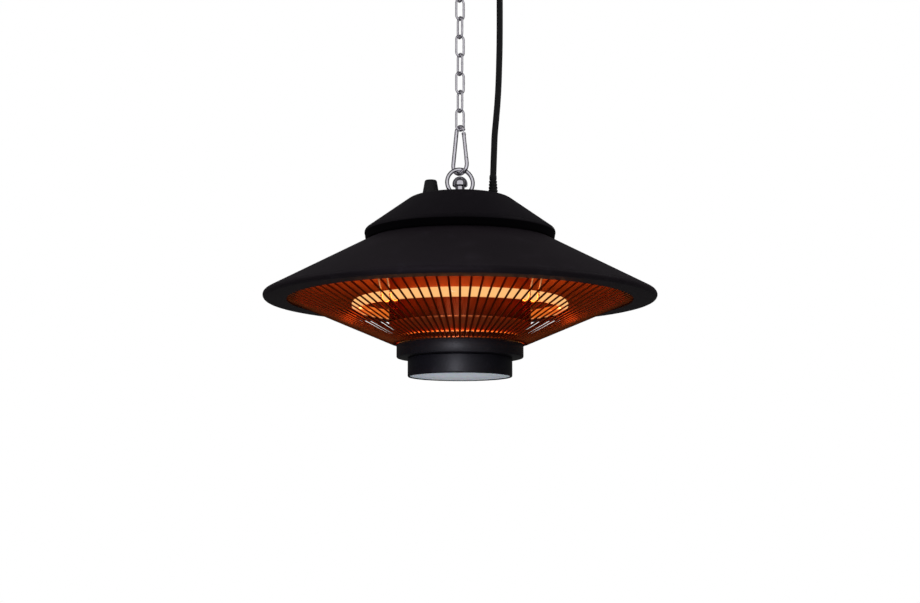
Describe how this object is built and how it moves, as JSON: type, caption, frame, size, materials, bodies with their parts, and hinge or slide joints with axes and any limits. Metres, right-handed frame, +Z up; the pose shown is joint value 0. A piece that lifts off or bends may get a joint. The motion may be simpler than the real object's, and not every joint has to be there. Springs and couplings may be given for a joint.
{
  "type": "hanging patio heater",
  "caption": "Round electric patio heater that hangs from a ceiling hook on a link chain: conical hood, ring lamp behind a conical guard, push switch on top and an opal light below.",
  "frame": {"origin": "centre of the ceiling plate's top face, where the heater hangs", "axes": "+Z up, -Y towards the picture's viewer, +X to the right in the picture; the heater hangs down along -Z"},
  "size_m": [0.4254, 0.4254, 0.5754],
  "materials": {
    "charcoal_paint": "satin powder coat",
    "black_paint": "semi-gloss",
    "dark_steel": "heat-darkened wire",
    "polished_aluminium": "polished",
    "chrome": "mirror",
    "zinc_steel": "zinc plated",
    "quartz": "clear quartz, lit",
    "tungsten": "glowing",
    "ceramic": "unglazed steatite",
    "opal_plastic": "opal, satin",
    "circuit_laminate": "solder mask",
    "black_plastic": "moulded",
    "black_rubber": "matt",
    "silicone": "matt",
    "brass": "nickel-free, turned"
  },
  "bodies": {
    "ceiling": {"ceiling_plate": "zinc_steel", "ceiling_hook": "zinc_steel", "ceiling_screw_1": "zinc_steel", "ceiling_screw_2": "zinc_steel", "cord_top_run": "black_rubber", "cord_coil": "black_rubber", "coil_tie": "black_rubber", "plug_body": "black_rubber", "plug_pin_1": "brass", "plug_pin_2": "brass"},
    "top_link": {"chain_link_8": "zinc_steel", "cord_run_5": "black_rubber"},
    "chain": {"chain_link_1": "zinc_steel", "chain_link_2": "zinc_steel", "chain_link_3": "zinc_steel", "chain_link_4": "zinc_steel", "chain_link_5": "zinc_steel", "chain_link_6": "zinc_steel", "chain_link_7": "zinc_steel", "cord_run_4": "black_rubber"},
    "carabiner": {"carabiner_body": "zinc_steel", "cord_run_3": "black_rubber"},
    "gate": {"carabiner_gate": "zinc_steel"},
    "ring": {"hanging_ring": "chrome", "cord_run_2": "black_rubber"},
    "button": {"switch_button": "black_rubber"},
    "heater": {"hood": "charcoal_paint", "top_cap": "charcoal_paint", "rim_lip": "black_paint", "base_collar": "black_paint", "base_cup": "black_paint", "guard": "dark_steel", "reflector": "polished_aluminium", "column": "polished_aluminium", "column_band": "polished_aluminium", "dome_nut": "chrome", "centre_rod": "zinc_steel", "rod_nut": "zinc_steel", "spacer_upper": "zinc_steel", "spacer_middle": "zinc_steel", "spacer_lower": "zinc_steel", "lamp_clip_1": "zinc_steel", "lamp_clip_2": "zinc_steel", "lamp_tube": "quartz", "lamp_filament": "tungsten", "lamp_base_left": "ceramic", "lamp_base_right": "ceramic", "terminal_block": "ceramic", "thermal_cutout": "ceramic", "lens": "opal_plastic", "led_board": "circuit_laminate", "control_board": "circuit_laminate", "relay": "black_plastic", "switch_body": "black_plastic", "gland": "black_rubber", "inner_lead": "black_rubber", "cord_run_1": "black_rubber", "led_lead": "silicone", "lamp_lead_left": "silicone", "lamp_lead_right": "silicone"}
  },
  "joints": [
    {"name": "chain_swing", "type": "hinge", "parent": "ceiling", "child": "top_link", "pos_m": [0, 0, -0.1353], "axis": [0.866, 0.5, 0], "range_deg": [-20, 20], "deforming": ["cord_run_5"]},
    {"name": "chain_sway", "type": "hinge", "parent": "top_link", "child": "chain", "pos_m": [0, 0, -0.15455], "axis": [0.5, -0.866, 0], "range_deg": [-15, 15], "deforming": ["cord_run_4"]},
    {"name": "carabiner_swing", "type": "hinge", "parent": "chain", "child": "carabiner", "pos_m": [0, 0, -0.30155], "axis": [0.866, 0.5, 0], "range_deg": [-20, 20], "deforming": ["cord_run_3"]},
    {"name": "ring_tilt", "type": "hinge", "parent": "carabiner", "child": "ring", "pos_m": [0, 0, -0.35005], "axis": [0.7431, -0.6691, 0], "range_deg": [-20, 20], "deforming": ["cord_run_2"]},
    {"name": "heater_swivel", "type": "hinge", "parent": "ring", "child": "heater", "pos_m": [0, 0, -0.3744], "axis": [0, 0, 1], "range_deg": [-20, 20], "deforming": ["cord_run_1"]},
    {"name": "gate_open", "type": "hinge", "parent": "carabiner", "child": "gate", "pos_m": [0.00412, -0.00371, -0.3063], "axis": [0.6691, 0.7431, 0], "range_deg": [0, 25], "stiffness_Nm_per_rad": 0.02, "springref_deg": -28.65},
    {"name": "switch_push", "type": "slide", "parent": "heater", "child": "button", "axis": [0, 0, -1], "range_m": [0, 0.0025], "stiffness_N_per_m": 400, "springref_m": -0.002}
  ]
}
